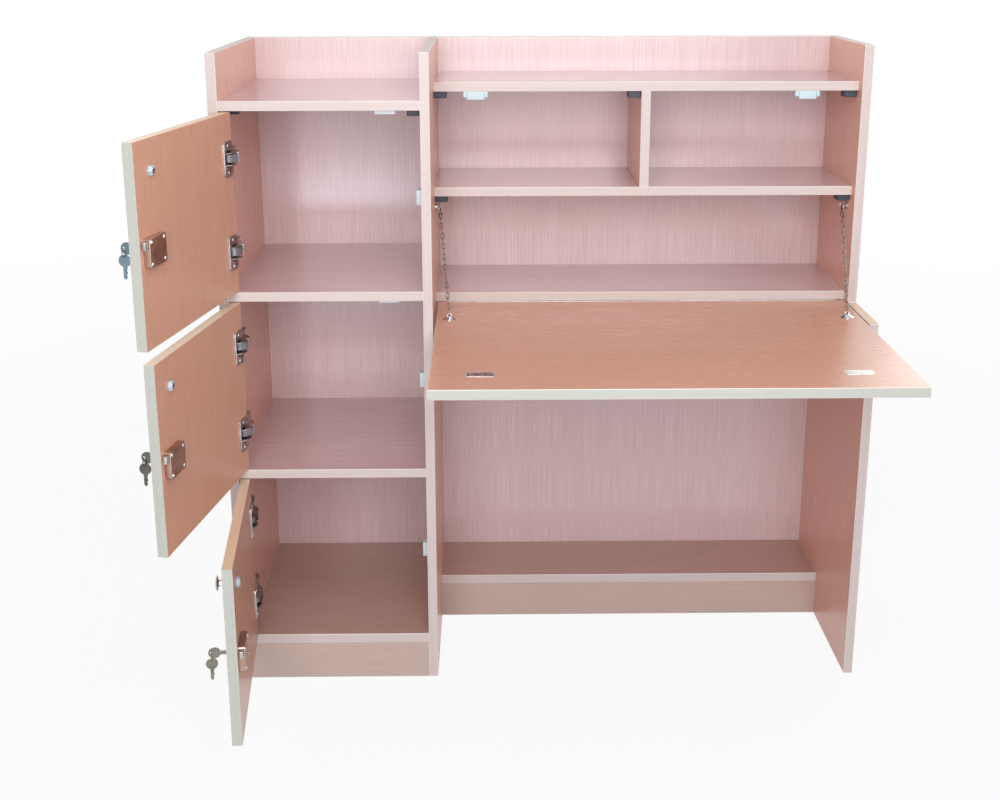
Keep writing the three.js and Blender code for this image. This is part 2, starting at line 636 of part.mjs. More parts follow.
// The key turns together with the plug that holds it.
function lockKey(level) {
  const z = doorTop(level) - LOCK_FROM_TOP;
  const left = KEY_X - KEY_THICKNESS / 2;
  const right = left + KEY_THICKNESS;
  const shank = KEY_BLADE_HEIGHT / 2;
  const plugFront = -ESCUTCHEON_THICKNESS - PLUG_LIP_HEIGHT;
  let key = bar('y', plugFront, PLUG_BORE_END - PLUG_LIP_HEIGHT, PLUG_RADIUS, KEY_X, z);
  key = key.add(block(left, right, KEY_BOW_Y, 0, z - shank, z + shank));
  key = key.add(bar('x', left, right, KEY_BOW_RADIUS, KEY_BOW_Y, z));
  const holeFrom = left - OVERCUT;
  const holeTo = right + OVERCUT;
  return key.subtract(bar('x', holeFrom, holeTo, KEY_HOLE_RADIUS, KEY_HOLE_Y, z, COARSE_SIDES));
}

// A small ring hangs in the bow of the key and carries the spare key.
function spareKey(level) {
  const z = doorTop(level) - LOCK_FROM_TOP;
  const left = KEY_X - KEY_THICKNESS / 2;
  const right = left + KEY_THICKNESS;
  const ringCentre = new THREE.Vector3(KEY_X, KEY_HOLE_Y, z - RING_RADIUS);
  const holeZ = z - RING_RADIUS * 2;
  const bowZ = holeZ - KEY_BOW_RADIUS * SPARE_HOLE_SHARE;
  const tip = bowZ - KEY_BOW_RADIUS - KEY_BLADE_LENGTH;
  const half = KEY_BLADE_HEIGHT / 2;
  const blade = [
    [KEY_HOLE_Y - half, bowZ],
    [KEY_HOLE_Y - half, tip + KEY_BIT_LENGTH],
    [KEY_HOLE_Y, tip],
  ];
  BIT_SHARES.forEach(([across, along]) => {
    blade.push([KEY_HOLE_Y + across * half, tip + along * KEY_BIT_LENGTH]);
  });
  blade.push([KEY_HOLE_Y + half, bowZ]);
  const bow = bar('x', left, right, KEY_BOW_RADIUS, KEY_HOLE_Y, bowZ);
  const key = bow.add(plate('x', blade, left, right));
  return key.add(ring(ringCentre, RING_RADIUS, RING_WIRE_RADIUS));
}

DOOR_OPEN_DEG.forEach((open, level) => {
  const number = level + 1;
  const placing = openPlacing(level);
  add(`door_${number}`, doorBoard(level), 'doorBeech', placing);
  hingeLevels(level).forEach((z, place) => {
    const end = place === 0 ? 'upper' : 'lower';
    add(`door_${number}_hinge_cup_${end}`, hingeCup(z), 'nickel', placing);
    add(`door_${number}_hinge_arm_${end}`, hingeArm(z), 'nickel');
  });
  add(`door_${number}_knob`, knob(doorTop(level) - KNOB_FROM_TOP), 'chrome', placing);
  add(`door_${number}_lock_case`, lockCase(level), 'nickel', placing);
  add(`door_${number}_lock_bolt`, lockBolt(level), 'nickel', placing);
  add(`door_${number}_key`, lockKey(level), 'nickel', placing);
  add(`door_${number}_spare_key`, spareKey(level), 'nickel', placing);
});

// Chains that hold the flap level

const SIDES = [
  { side: 'left', wall: HUTCH_LEFT, inward: 1 },
  { side: 'right', wall: HUTCH_RIGHT, inward: -1 },
];

// Round plate on the wall, short shank and ring; the chain hangs from the bottom of the ring.
function wallEye(wall, inward) {
  const centre = new THREE.Vector3(wall + inward * WALL_EYE_OFFSET, WALL_EYE_Y, WALL_EYE_Z + EYE_RADIUS);
  const rosetteFace = wall + inward * WALL_ROSETTE_THICKNESS;
  const shankEnd = centre.x - inward * EYE_RADIUS;
  const between = (a, b, radius) => bar('x', Math.min(a, b), Math.max(a, b), radius, centre.y, centre.z);
  const rosette = between(wall, rosetteFace, WALL_ROSETTE_RADIUS);
  const shank = between(wall, shankEnd, WALL_SHANK_RADIUS);
  return rosette.add(shank).add(ring(centre, EYE_RADIUS, EYE_WIRE_RADIUS));
}

// Domed rosette on the flap with an upright ring; the chain pulls on the top of the ring.
function flapEye(x) {
  const place = new THREE.Matrix4().makeRotationX(Math.PI / 2).setPosition(x, FLAP_EYE_Y, DESK_HEIGHT);
  const dome = DOME_SHARES.map(([r, h]) => [r * DOME_RADIUS, h * DOME_HEIGHT]);
  const centre = new THREE.Vector3(x, FLAP_EYE_Y, DESK_HEIGHT + FLAP_EYE_HEIGHT - EYE_RADIUS);
  return turned(dome, ROUND_SIDES, place).add(ring(centre, EYE_RADIUS, EYE_WIRE_RADIUS));
}

// One oval link: its two end arcs lie at the stations, and its plane holds the run and the given sideways line.
function link(origin, run, sideways, station, straight) {
  const centres = [];
  const start = origin.clone().addScaledVector(run, station);
  [[straight, -Math.PI / 2], [0, Math.PI / 2]].forEach(([along, first]) => {
    for (let i = 0; i <= LINK_STEPS; i += 1) {
      const angle = first + i / LINK_STEPS * Math.PI;
      const point = start.clone();
      point.addScaledVector(run, along + LINK_END_RADIUS * Math.cos(angle));
      point.addScaledVector(sideways, LINK_END_RADIUS * Math.sin(angle));
      centres.push(point);
    }
  });
  const normal = new THREE.Vector3().crossVectors(run, sideways).normalize();
  return wireLoop(centres, normal, CHAIN_WIRE / 2, CHAIN_SIDES);
}

function chainRun(from, to, count, pitch) {
  const run = new THREE.Vector3().subVectors(to, from).normalize();
  const across = new THREE.Vector3(1, 0, 0).addScaledVector(run, -run.x).normalize();
  const upright = new THREE.Vector3().crossVectors(run, across).normalize();
  const straight = pitch - LINK_END_RADIUS * 2 + CHAIN_WIRE - LINK_BITE;
  let solid = null;
  for (let i = 0; i < count; i += 1) {
    const piece = link(from, run, i % 2 === 0 ? upright : across, i * pitch, straight);
    solid = solid ? solid.add(piece) : piece;
  }
  return solid;
}

SIDES.forEach(({ side, wall, inward }) => {
  const wallEnd = new THREE.Vector3(wall + inward * WALL_EYE_OFFSET, WALL_EYE_Y, WALL_EYE_Z);
  const flapX = wall + inward * FLAP_EYE_INSET;
  const flapEnd = new THREE.Vector3(flapX, FLAP_EYE_Y, DESK_HEIGHT + FLAP_EYE_HEIGHT);
  const reach = LINK_END_RADIUS * 2 - CHAIN_WIRE * 3 + LINK_BITE * 2 - SLIDE_FIT;
  const pitch = (wallEnd.distanceTo(flapEnd) + reach) / (LINKS_UPPER + LINKS_LOWER);
  add(`wall_eye_${side}`, wallEye(wall, inward), 'nickel');
  add(`flap_eye_${side}`, flapEye(flapX), 'nickel');
  add(`chain_${side}_upper_run`, chainRun(wallEnd, flapEnd, LINKS_UPPER, pitch), 'darkSteel');
  add(`chain_${side}_lower_run`, chainRun(flapEnd, wallEnd, LINKS_LOWER, pitch), 'darkSteel');
});

// Magnetic catches under the hutch top shelf

function hutchCatch(x) {
  const left = x - CATCH_WIDTH / 2;
  const right = x + CATCH_WIDTH / 2;
  const top = HUTCH_TOP_SHELF_TOP - BOARD;
  const front = HUTCH_FRONT + CATCH_SETBACK;
  const outline = [
    [left, front + CATCH_BEVEL],
    [left + CATCH_BEVEL, front],
    [right - CATCH_BEVEL, front],
    [right, front + CATCH_BEVEL],
    [right, front + CATCH_DEPTH],
    [left, front + CATCH_DEPTH],
  ];
  return plate('z', outline, top - CATCH_HEIGHT, top);
}

add('hutch_catch_left', hutchCatch(HUTCH_LEFT + CATCH_LEFT_INSET), 'whitePlastic');
add('hutch_catch_right', hutchCatch(HUTCH_RIGHT - CATCH_RIGHT_INSET), 'whitePlastic');

export default desk;
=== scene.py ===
import bpy
import bmesh
import json
import math
import random
from mathutils import Matrix, Vector

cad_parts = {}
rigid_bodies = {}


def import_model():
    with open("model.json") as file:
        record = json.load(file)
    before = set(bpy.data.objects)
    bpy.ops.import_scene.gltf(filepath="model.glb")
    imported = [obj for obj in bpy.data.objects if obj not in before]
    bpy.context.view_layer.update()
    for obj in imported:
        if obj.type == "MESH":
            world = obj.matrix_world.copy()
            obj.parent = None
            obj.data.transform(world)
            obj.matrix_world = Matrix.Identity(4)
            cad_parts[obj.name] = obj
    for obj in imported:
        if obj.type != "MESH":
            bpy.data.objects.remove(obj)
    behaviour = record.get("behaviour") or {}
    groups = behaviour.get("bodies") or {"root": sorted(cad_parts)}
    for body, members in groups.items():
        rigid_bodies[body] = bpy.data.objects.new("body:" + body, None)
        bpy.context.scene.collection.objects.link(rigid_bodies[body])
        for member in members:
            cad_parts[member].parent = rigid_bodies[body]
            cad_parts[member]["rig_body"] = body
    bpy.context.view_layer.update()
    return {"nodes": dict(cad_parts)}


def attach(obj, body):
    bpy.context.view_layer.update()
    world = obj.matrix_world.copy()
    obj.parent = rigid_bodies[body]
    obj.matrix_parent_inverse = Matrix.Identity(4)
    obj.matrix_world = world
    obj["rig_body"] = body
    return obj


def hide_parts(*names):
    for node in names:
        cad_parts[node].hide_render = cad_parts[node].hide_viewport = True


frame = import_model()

NODES = frame["nodes"]
scene = bpy.context.scene

# Sizes and places are in millimetres, counted from the outer front foot of the left panel
PER_METRE = 1000
X, Y, Z = 0, 1, 2
RIGHTWARD = Vector((1, 0, 0))
BACKWARD = Vector((0, 1, 0))
UPWARD = Vector((0, 0, 1))

# Boards
BOARD = 18
DEPTH = 398
MIDDLE_LEFT = 384
HUTCH_LEFT = MIDDLE_LEFT + BOARD
HUTCH_RIGHT = 1233
DIVIDER_LEFT = (HUTCH_LEFT + HUTCH_RIGHT - BOARD) / 2
LOCKER_ROOF = 1160
LOCKER_PITCH = 360
HUTCH_ROOF = 1175
MIDDLE_SHELF_UNDERSIDE = 967
FLAP_TOP = 750
STEP_LIMIT = 1000

# Doors, from the top one to the bottom one
DOORS = (1, 2, 3)
DOOR_OPEN_DEG = {1: 102.2, 2: 100.8, 3: 83.9}
POLE = (24, 3)
DOOR_LEFT = 20
DOOR_RIGHT = 382
DOOR_TOP = 1158
DOOR_HEIGHT = 338

# Concealed hinges
HINGE_FROM_TOP = 83
HINGE_FROM_BOTTOM = 80
CUP_X = DOOR_LEFT + 22.5
CUP_MOUTH_RADIUS = 15.7
CUP_MOUTH_Y = BOARD + 2
CUP_SCREW_LIFT = 25
RIM_X = DOOR_LEFT + 21
RIM_WIDTH = 36
RIM_HEIGHT = 66
RIM_CORNER = 8
RIM_BACK = 19.25
RIM_FACE = 20.9
RIM_END = 32.5
WING_FACE = 19.9
WING_Y = 54
WING_SCREW_LIFT = 19
ARM_FACE = 31
ARM_SCREW_Y = 73
LINK_OUTLINE = (
    (33, 11.5), (38.4, 13.5), (37.0, 19.0), (34.6, 22.9), (25.0, 28.3),
    (21.6, 30.2), (20.3, 29.0), (20.6, 25.5), (26.5, 20.8),
)
LINK_HALF_WIDTH = 7.4

# Knobs and locks
KNOB_X = DOOR_RIGHT - 50
KNOB_FROM_TOP = 51.5
NUT_Y = 18.2
NUT_PROFILE = (
    (0, 0), (8.2, 0), (8.2, 4), (7.2, 5.6), (6, 6.2), (6, 4.8), (5.6, 4.8), (5.6, 0.2), (0, 0.2),
)
NUT_LOBES = 6
NUT_LOBE_SHARE = 0.09
LOCK_X = DOOR_RIGHT - 38.5
LOCK_FROM_TOP = 178
CASE_FACE = 30
CASE_SCREW_X = 21.5
CASE_SCREW_Z = 18
BOLT_LIFT = 14

# Keepers of the lock bolts, on the middle panel
KEEPER_FACE = 374.6
KEEPER_Y = 30
KEEPER_WIDTH = 21
KEEPER_HEIGHT = 30
KEEPER_CORNER = 3
KEEPER_SLOT_WIDTH = 8.5
KEEPER_SLOT_HEIGHT = 16.5
KEEPER_SLOT_CORNER = 0.5
KEEPER_SEAT = 0.1
BOLT_Y = 24

# Screw heads
CUP_SCREW_RADIUS = 3.2
WING_SCREW_RADIUS = 3.3
ARM_SCREW_RADIUS = 3.4
BLOCK_SCREW_RADIUS = 3.5
CASE_SCREW_RADIUS = 3.6
STRIKE_SCREW_RADIUS = 2.4
SCREW_ROLL = 0.3
CASE_SCREW_ROLL_STEP = 0.4

# Shape of a screw head, in shares of its radius and height, and of the cross cut into it
SCREW_HEAD_SHARES = ((0, -0.2), (1, -0.2), (1, 0), (0.86, 0.28), (0.5, 0.46), (0, 0.52))
CROSS_PLACE_SHARE = 0.5
CROSS_SIZE_SHARE = 1.15
CROSS_DEPTH_SHARE = 0.34
CROSS_WIDTH_SHARE = 0.22

# Magnetic catches under the hutch top shelf
TAB_LENGTH = 7.5
TAB_CUT_HEIGHT = 4.5
TAB_CUT_DEPTH = 100
GROOVE_WIDTH = 0.9
GROOVE_DEPTH = 2
GROOVE_STOP = 2

# Chains
CHAIN_WIRE = 2.2
LINK_END_RADIUS = 2.6
LINK_BITE = 0.3
LINK_SLACK = 0.4
LINKS_UPPER = 13
LINKS_LOWER = 7
WALL_EYE_OFFSET = 9
WALL_EYE_Y = 196
WALL_EYE_Z = 935
FLAP_EYE_OFFSET = 30
FLAP_EYE_Y = 45
FLAP_EYE_Z = 761

# Corner blocks and locker catches
CLEAR = 0.2
BLOCK_WIDTH = 25
BLOCK_DEPTH = 26
BLOCK_HEIGHT = 14
HUTCH_BLOCK_Y = 176
MIDDLE_BLOCK_Y = 178
LEFT_BLOCK_Y = 60
RIGHT_BLOCK_Y = 30
CATCH_X = (300, 338)
CATCH_Y = (19.5, 37)
CATCH_HEIGHT = 9

# Strike plates and eye rosettes on the flap
STRIKE_PLACES = (("left", 493), ("right", 1133))
STRIKE_Y = -268
STRIKE_WIDTH = 50
STRIKE_DEPTH = 22
STRIKE_CORNER = 6
STRIKE_SINK = 0.1
STRIKE_RISE = 0.75
STRIKE_SCREW_LIFT = 0.1
STRIKE_RIM = 2.2
STRIKE_SCREW_X = 18
STRIKE_SCREW_FLATNESS = 0.25
ROSETTE_PROFILE = ((1.6, 0), (10.5, 0), (10.5, 1.2), (8.8, 3), (5.8, 4.2), (4, 6.2), (1.6, 6.8))
ROSETTE_LOBES = 8
ROSETTE_LOBE_SHARE = 0.05
ROSETTE_SEAT = 0.05

# Small hole in the front edge of the left panel, drawn as a thin dark disc: painted shade where the hole is
HOLE_Z = 812
HOLE_PROFILE = ((0, -0.2), (2.2, -0.2), (2.2, 0.3), (0, 0.3))

# Widths of bevels, and how far a cutter runs past what it cuts
BOARD_BEVEL = 0.9
METAL_BEVEL = 0.3
THIN_BEVEL = 0.2
KNOB_BEVEL = 0.4
CASE_BEVEL = 0.6
PLATE_BEVEL = 0.4
LINK_BEVEL = 0.8
PLASTIC_BEVEL = 0.8
BLOCK_BEVEL = 1.5
STRIKE_BEVEL = 0.3
OVERCUT = 1
BORE_REACH = 10

# Sides of round pieces, and steps along a bend of a link, a corner or a rim
CUP_SIDES = 28
SCREW_SIDES = 20
LOBED_SIDES = 48
HOLE_SIDES = 16
WIRE_SIDES = 8
LINK_STEPS = 7
CORNER_STEPS = 4
RIM_STEPS = 5

# A face turns towards an axis where its normal is above the first share, and lies along it below the second
FACING_SHARE = 0.7
ALONG_SHARE = 0.5


def mm(length):
    return length / PER_METRE


ORIGIN = Vector((mm(MIDDLE_LEFT + BOARD / 2), mm(DEPTH / 2), 0))


def at(x, y, z):
    """The point of the frame, in metres, for a place in millimetres."""
    return Vector((mm(x), mm(y), mm(z))) - ORIGIN


def scaled(points):
    return [(mm(a), mm(b)) for a, b in points]


def door_matrix(n):
    """Swings a shut door open, as the photograph shows it."""
    pole = at(*POLE, 0)
    turn = Matrix.Rotation(-math.radians(DOOR_OPEN_DEG[n]), 4, "Z")
    return Matrix.Translation(pole) @ turn @ Matrix.Translation(-pole)


def door_top(n):
    return DOOR_TOP - LOCKER_PITCH * (n - 1)


def body_of(node):
    return NODES[node]["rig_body"]


# Camera
CAMERA_PLACE = (506.48, -2177.57, 1446.79)
CAMERA_TURN_DEG = (-0.6087, -13.8909, -0.0901)
IMAGE_WIDTH = 1000
IMAGE_HEIGHT = 800
FOCAL_PIXELS = 1202.03
CENTRE_ROW = 245
SENSOR_WIDTH = 36
CLIP_END = 50


def make_camera():
    data = bpy.data.cameras.new("camera")
    camera = bpy.data.objects.new("camera", data)
    scene.collection.objects.link(camera)
    scene.camera = camera
    yaw, pitch, roll = (math.radians(angle) for angle in CAMERA_TURN_DEG)
    ahead = Vector((-math.sin(yaw) * math.cos(pitch), math.cos(yaw) * math.cos(pitch), math.sin(pitch)))
    level = Vector((math.cos(yaw), math.sin(yaw), 0))
    upright = level.cross(ahead)
    right = level * math.cos(roll) + upright * math.sin(roll)
    up = upright * math.cos(roll) - level * math.sin(roll)
    matrix = Matrix((right, up, -ahead)).transposed().to_4x4()
    matrix.translation = at(*CAMERA_PLACE)
    camera.matrix_world = matrix
    data.sensor_width = SENSOR_WIDTH
    data.lens = FOCAL_PIXELS / IMAGE_WIDTH * SENSOR_WIDTH
    data.shift_y = (CENTRE_ROW - IMAGE_HEIGHT / 2) / IMAGE_WIDTH
    data.clip_end = CLIP_END


make_camera()
scene.view_settings.view_transform = "Standard"

# Materials
WHITE = (1, 1, 1, 1)
BLACK = (0, 0, 0, 1)
BUMP_DISTANCE = 0.0002

# How often the beech print repeats along and across the grain, per metre
BROAD_GRAIN = (0.8, 26)
FINE_GRAIN = (7.0, 380)
PORES = (28, 900)
BAND_GRAIN = (2.5, 260)

# How strongly each layer of the print shows
TONE_SHARE = 0.35
STREAK_SHARE = 0.9
STREAK_WEIGHT = 0.62
PORE_SHARE = 0.10


def srgb(r, g, b):
    def linear(c):
        c /= 255
        return c / 12.92 if c <= 0.04045 else ((c + 0.055) / 1.055) ** 2.4
    return (linear(r), linear(g), linear(b), 1)


def grey(value):
    return (value, value, value, 1)


def darker(colour, share):
    return tuple(c * share for c in colour[:3]) + (1,)


class Mat:
    """A principled material and short ways to add nodes to it."""

    def __init__(self, name):
        self.material = bpy.data.materials.new(name)
        self.material.use_nodes = True
        self.tree = self.material.node_tree
        self.shader = self.tree.nodes["Principled BSDF"]

    def node(self, kind, **values):
        node = self.tree.nodes.new(kind)
        for key, value in values.items():
            if key in node.inputs:
                node.inputs[key].default_value = value
            else:
                setattr(node, key, value)
        return node

    def link(self, a, b):
        self.tree.links.new(a, b)

    def set(self, **values):
        for key, value in values.items():
            self.shader.inputs[key.replace("_", " ")].default_value = value

    def ramp(self, source, stops):
        ramp = self.node("ShaderNodeValToRGB")
        for element, (position, colour) in zip(ramp.color_ramp.elements, stops):
            element.position = position
            element.color = colour
        for position, colour in stops[len(ramp.color_ramp.elements):]:
            ramp.color_ramp.elements.new(position).color = colour
        self.link(source, ramp.inputs["Fac"])
        return ramp.outputs["Color"]

    def mix(self, kind, share, a, b):
        node = self.node("ShaderNodeMix", data_type="RGBA", blend_type=kind)
        node.inputs[0].default_value = share
        for socket, value in ((node.inputs[6], a), (node.inputs[7], b)):
            if isinstance(value, tuple):
                socket.default_value = value
            else:
                self.link(value, socket)
        return node.outputs[2]

    def stretched(self, vector, scale):
        mapping = self.node("ShaderNodeMapping")
        mapping.inputs["Scale"].default_value = scale
        self.link(vector, mapping.inputs["Vector"])
        return mapping.outputs["Vector"]

    def noise(self, vector, scale, detail, **values):
        node = self.node("ShaderNodeTexNoise", Scale=scale, Detail=detail, **values)
        self.link(vector, node.inputs["Vector"])
        return node.outputs["Fac"]

    def object_space(self):
        return self.node("ShaderNodeTexCoord").outputs["Object"]

    def bump(self, source, strength):
        node = self.node("ShaderNodeBump")
        node.inputs["Strength"].default_value = strength
        node.inputs["Distance"].default_value = BUMP_DISTANCE
        self.link(source, node.inputs["Height"])
        self.link(node.outputs["Normal"], self.shader.inputs["Normal"])


def laminate(name, tones, contrast, rough, gloss=0.5):
    """Beech print: long fine streaks along U, short pores, slow drift of tone."""
    base, dark, light = (srgb(*tone) for tone in tones)
    m = Mat(name)
    uv = m.node("ShaderNodeUVMap", uv_map="grain").outputs["UV"]

    def field(density, detail, distortion):
        stretched = m.stretched(uv, (*density, 1))
        return m.noise(stretched, 1.0, detail, Roughness=0.6, Distortion=distortion)

    broad = field(BROAD_GRAIN, 3, 0.3)
    fine = field(FINE_GRAIN, 3, 0.1)
    pores = field(PORES, 2, 0.0)
    tones = m.ramp(broad, [(0.25, dark), (0.52, base), (0.8, light)])
    streaks = m.ramp(fine, [(0.3, dark), (0.55, base), (0.75, light)])
    tone = m.mix("MIX", TONE_SHARE * contrast, base, tones)
    streak = m.mix("MIX", STREAK_SHARE * contrast, base, streaks)
    pore = m.ramp(pores, [(0.32, BLACK), (0.42, WHITE)])
    shade = m.mix("MULTIPLY", PORE_SHARE * contrast, m.mix("MIX", STREAK_WEIGHT, tone, streak), pore)
    m.link(shade, m.shader.inputs["Base Color"])
    m.link(m.ramp(fine, [(0.3, grey(rough + 0.08)), (0.7, grey(rough - 0.05))]), m.shader.inputs["Roughness"])
    m.set(Specular_IOR_Level=gloss)
    m.bump(pores, 0.1)
    return m.material


def band(name, base, dark, rough=0.45):
    """Edge band: nearly plain plastic with a faint print."""
    m = Mat(name)
    uv = m.node("ShaderNodeUVMap", uv_map="grain").outputs["UV"]
    lines = m.noise(m.stretched(uv, (*BAND_GRAIN, 1)), 1.0, 3.0)
    m.link(m.ramp(lines, [(0.3, srgb(*dark)), (0.7, srgb(*base))]), m.shader.inputs["Base Color"])
    m.set(Roughness=rough, Specular_IOR_Level=0.35)
    m.bump(m.noise(m.object_space(), 900.0, 2.0), 0.05)
    return m.material


def metal(name, colour, rough, scratch=0.35):
    """Plated metal: blots of tone, and fine scratches that change its gloss."""
    m = Mat(name)
    space = m.object_space()
    scratches = m.noise(m.stretched(space, (1, 1, 6)), 140.0, 5.0)
    blots = m.noise(space, 35.0, 3.0)
    bright = srgb(*colour)
    m.link(m.ramp(blots, [(0.35, darker(bright, 0.72)), (0.62, bright)]), m.shader.inputs["Base Color"])
    low = max(0.03, rough * (1 - scratch))
    high = rough * (1 + scratch)
    m.link(m.ramp(scratches, [(0.3, grey(low)), (0.7, grey(high))]), m.shader.inputs["Roughness"])
    m.set(Metallic=1.0)
    m.bump(scratches, 0.08)
    return m.material


def plastic(name, colour, rough):
    """Moulded plastic with a fine grain."""
    m = Mat(name)
    grain = m.noise(m.object_space(), 600.0, 2.0)
    bright = srgb(*colour)
    m.link(m.ramp(grain, [(0.3, darker(bright, 0.85)), (0.6, bright)]), m.shader.inputs["Base Color"])
    m.set(Roughness=rough)
    m.bump(grain, 0.1)
    return m.material


M_SIDE = laminate("beech_side", [(225, 173, 153), (210, 154, 133), (236, 189, 171)], 1.0, 0.3)
# The lavender cast of the back colour is partly the beech's own tone and partly a painted sheen.
M_BACK = laminate("beech_back", [(208, 180, 180), (189, 157, 155), (221, 199, 201)], 1.0, 0.2, 1.0)
M_SHELF = laminate("beech_shelf", [(196, 162, 163), (180, 143, 143), (210, 181, 184)], 0.9, 0.14, 1.0)
M_KICK = laminate("beech_kick", [(190, 166, 155), (176, 150, 138), (200, 178, 169)], 0.9, 0.3)
M_DOOR = laminate("beech_door", [(209, 158, 133), (194, 138, 113), (219, 175, 153)], 1.0, 0.3)
M_FLAP = laminate("beech_flap", [(206, 155, 132), (192, 138, 115), (217, 169, 150)], 0.9, 0.24)
# Darker copy of the shelf beech for the lowest shelves: painted shade.
M_SHELF_SHADED = laminate("beech_shelf_painted_shade", [(184, 149, 138), (168, 130, 118), (197, 165, 155)], 0.9, 0.3)
M_DOOR_EDGE = band("band_door", (187, 186, 176), (180, 179, 167))
M_DOOR_TOP = band("band_door_top", (223, 193, 165), (212, 180, 152))
M_EDGE = band("band_carcass", (206, 191, 186), (199, 183, 177))
M_ARRIS = band("band_arris", (226, 221, 214), (220, 213, 206), 0.35)
M_NICKEL = metal("nickel", (205, 203, 202), 0.28)
M_CASE = metal("case_steel", (196, 168, 152), 0.34)
M_CHROME = metal("chrome", (222, 224, 230), 0.1)
M_CHAIN = metal("chain_steel", (150, 138, 132), 0.16)
M_BLACK = plastic("black_plastic", (58, 60, 72), 0.5)
M_WHITE = plastic("white_plastic", (226, 232, 238), 0.4)
M_CATCH = plastic("catch_plastic", (198, 218, 222), 0.4)
M_NUT = plastic("nut_plastic", (176, 192, 204), 0.45)
# Colour of the disc over the small hole: painted shade.
M_HOLE_SHADE = plastic("hole_painted_shade", (60, 40, 34), 0.8)
# The keys are all one nickel: the blue cast of key 1 and the darker tone of key 2 are painted reflections.
M_KEYS = {
    1: metal("key_nickel_painted_blue_reflection", (132, 154, 166), 0.28),
    2: metal("key_nickel_painted_dark_reflection", (120, 116, 108), 0.25),
    3: metal("key_nickel", (150, 146, 134), 0.26),
}
# Lighter, rougher copy of the nickel for the sides of pressed rims: a painted highlight.
M_RIM_HIGHLIGHT = metal("rim_nickel_painted_highlight", (238, 234, 234), 0.45, 0.2)
M_LINK = metal("link_nickel", (138, 134, 138), 0.36)


# Mesh helpers
def link_obj(name, mesh):
    obj = bpy.data.objects.new(name, mesh)
    scene.collection.objects.link(obj)
    return obj


def to_object(bm, name, place=None):
    """Turns a bmesh into an object of the scene."""
    mesh = bpy.data.meshes.new(name)
    bm.to_mesh(mesh)
    bm.free()
    if place is not None:
        mesh.transform(place)
    return link_obj(name, mesh)


def smooth(obj, angle=35):
    """Smooth faces, with the edges left sharp that turn by more than the angle."""
    for poly in obj.data.polygons:
        poly.use_smooth = True
    bm = bmesh.new()
    bm.from_mesh(obj.data)
    limit = math.radians(angle)
    for edge in bm.edges:
        if len(edge.link_faces) == 2 and edge.calc_face_angle(0) > limit:
            edge.smooth = False
    bm.to_mesh(obj.data)
    bm.free()


def bevel(obj, width, segments=2, angle=40, material=-1):
    mod = obj.modifiers.new("bevel", "BEVEL")
    mod.width = mm(width)
    mod.segments = segments
    mod.limit_method = "ANGLE"
    mod.angle_limit = math.radians(angle)
    mod.harden_normals = False
    mod.use_clamp_overlap = True
    mod.material = material


def fasten(obj, body):
    """Gives a piece the body that carries it."""
    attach(obj, body)
    return obj


def copy_node(node):
    """A copy of a CAD node's mesh, with its flat faces whole again."""
    mesh = NODES[node].data.copy()
    mesh.materials.clear()
    obj = link_obj(node + "_dressed", mesh)
    if mesh.has_custom_normals:
        mesh.attributes.remove(mesh.attributes["custom_normal"])
    bm = bmesh.new()
    bm.from_mesh(mesh)
    bmesh.ops.remove_doubles(bm, verts=bm.verts, dist=1e-6)
    bmesh.ops.dissolve_limit(bm, angle_limit=math.radians(1), verts=bm.verts, edges=bm.edges)
    bm.normal_update()
    bm.to_mesh(mesh)
    bm.free()
    return obj


def grain_axes(flat, thin, along):
    """The axes of the print on a face that lies across the flat axis."""
    axes = [axis for axis in (X, Y, Z) if axis != flat]
    if flat != thin:
        along = next((axis for axis in axes if axis != thin), axes[0])
    elif along not in axes:
        along = axes[0]
    across = next(axis for axis in axes if axis != along)
    return along, across


def grain_uv(obj, to_local, thin, along, seed):
    """UV in metres: U along the grain, V across it, from each face's own plane."""
    mesh = obj.data
    layer = mesh.uv_layers.new(name="grain")
    draw = random.Random(seed)
    shift = (draw.uniform(0, 40), draw.uniform(0, 40))
    for poly in mesh.polygons:
        normal = to_local.to_3x3() @ poly.normal
        flat = max(range(3), key=lambda i: abs(normal[i]))
        u_axis, v_axis = grain_axes(flat, thin, along)
        for loop in poly.loop_indices:
            p = to_local @ mesh.vertices[mesh.loops[loop].vertex_index].co
            layer.data[loop].uv = (p[u_axis] + shift[0], p[v_axis] + shift[1])


def board(node, thin, along, face, edge, local=None, arris=True, special=None):
    """A laminated board over its CAD node: printed faces, banded edges, a fine light arris.

    special holds a test on the centre and normal of a face, and the material of the faces that meet it.
    """
    obj = copy_node(node)
    local = local or Matrix.Identity(4)
    for material in [face, edge, M_ARRIS if arris else edge] + ([special[1]] if special else []):
        obj.data.materials.append(material)
    turn = local.to_3x3()
    for poly in obj.data.polygons:
        normal = turn @ poly.normal
        poly.use_smooth = False
        poly.material_index = 0 if abs(normal[thin]) > FACING_SHARE else 1
        if special and special[0](local @ poly.center, normal):
            poly.material_index = 3
    grain_uv(obj, local, thin, along, sum(ord(letter) for letter in node))
    bevel(obj, BOARD_BEVEL, angle=50, material=2 if arris else 1)
    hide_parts(node)
    return fasten(obj, body_of(node))


def dress(node, mat, width=METAL_BEVEL):
    """A copy of a hardware node with fine bevels and its own metal or plastic."""
    obj = copy_node(node)
    obj.data.materials.append(mat)
    smooth(obj)
    if width:
        bevel(obj, width)
    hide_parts(node)
    return fasten(obj, body_of(node))


